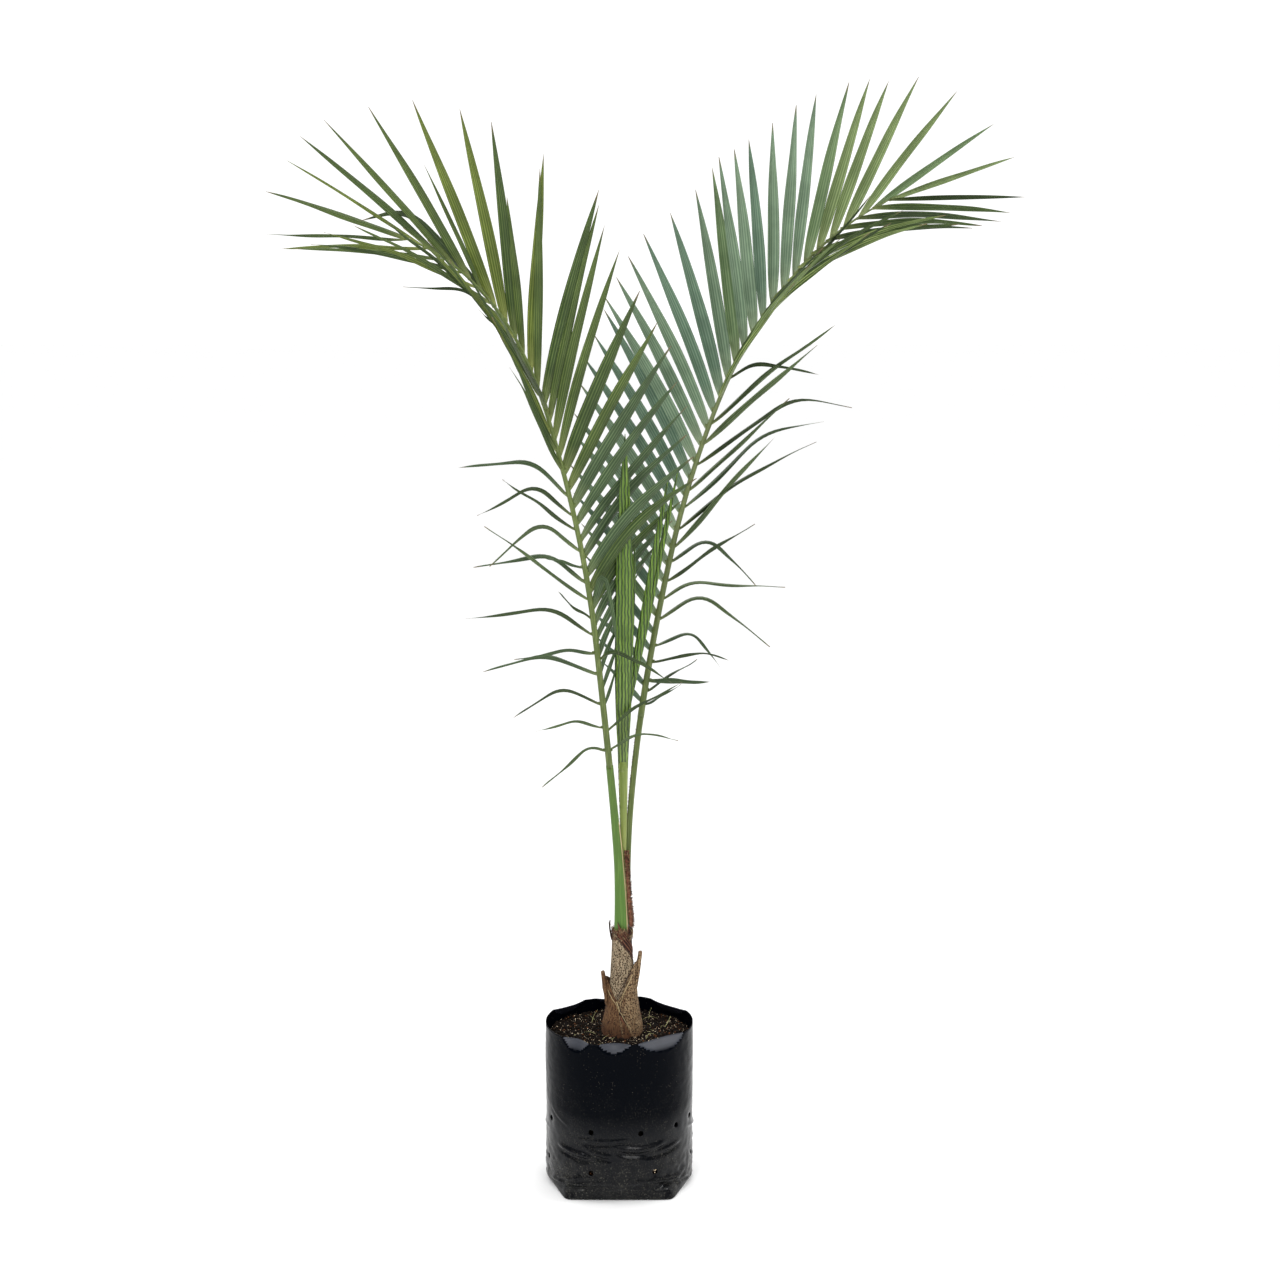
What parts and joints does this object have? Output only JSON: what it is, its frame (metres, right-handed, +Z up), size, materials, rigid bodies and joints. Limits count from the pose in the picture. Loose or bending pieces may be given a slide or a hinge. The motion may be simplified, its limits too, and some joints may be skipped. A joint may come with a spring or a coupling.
{
  "type": "potted palm seedling",
  "caption": "Young feather palm with long arching fronds, a fresh central spear and old leaf bases, standing in a soil-filled black plastic nursery bag.",
  "frame": {"origin": "middle of the bag's flat underside", "axes": "+Z up from the bag's underside to the tip of the tallest leaflet; -X towards the more upright leaf's side, the left in the picture; -Y towards the viewer of the picture"},
  "size_m": [0.9749, 0.4042, 1.4793],
  "materials": {
    "bag_film": "satin",
    "soil": "rough",
    "sheath": "matte",
    "old_base": "matte",
    "stalk": "satin",
    "spear": "satin",
    "fibre": "matte",
    "leaf_left": "satin",
    "leaf_right": "satin"
  },
  "bodies": {
    "root": {"grow_bag": "bag_film", "potting_soil": "soil", "stem": "sheath", "leaf_base_left": "old_base", "leaf_base_right": "old_base", "petiole_left": "stalk", "petiole_right": "stalk", "petiole_centre": "stalk", "spear_leaf": "spear", "fibre_margin": "fibre", "frond_left_lower": "leaf_left", "frond_left_upper": "leaf_left", "frond_right_lower": "leaf_right", "frond_right_upper": "leaf_right"}
  },
  "joints": []
}
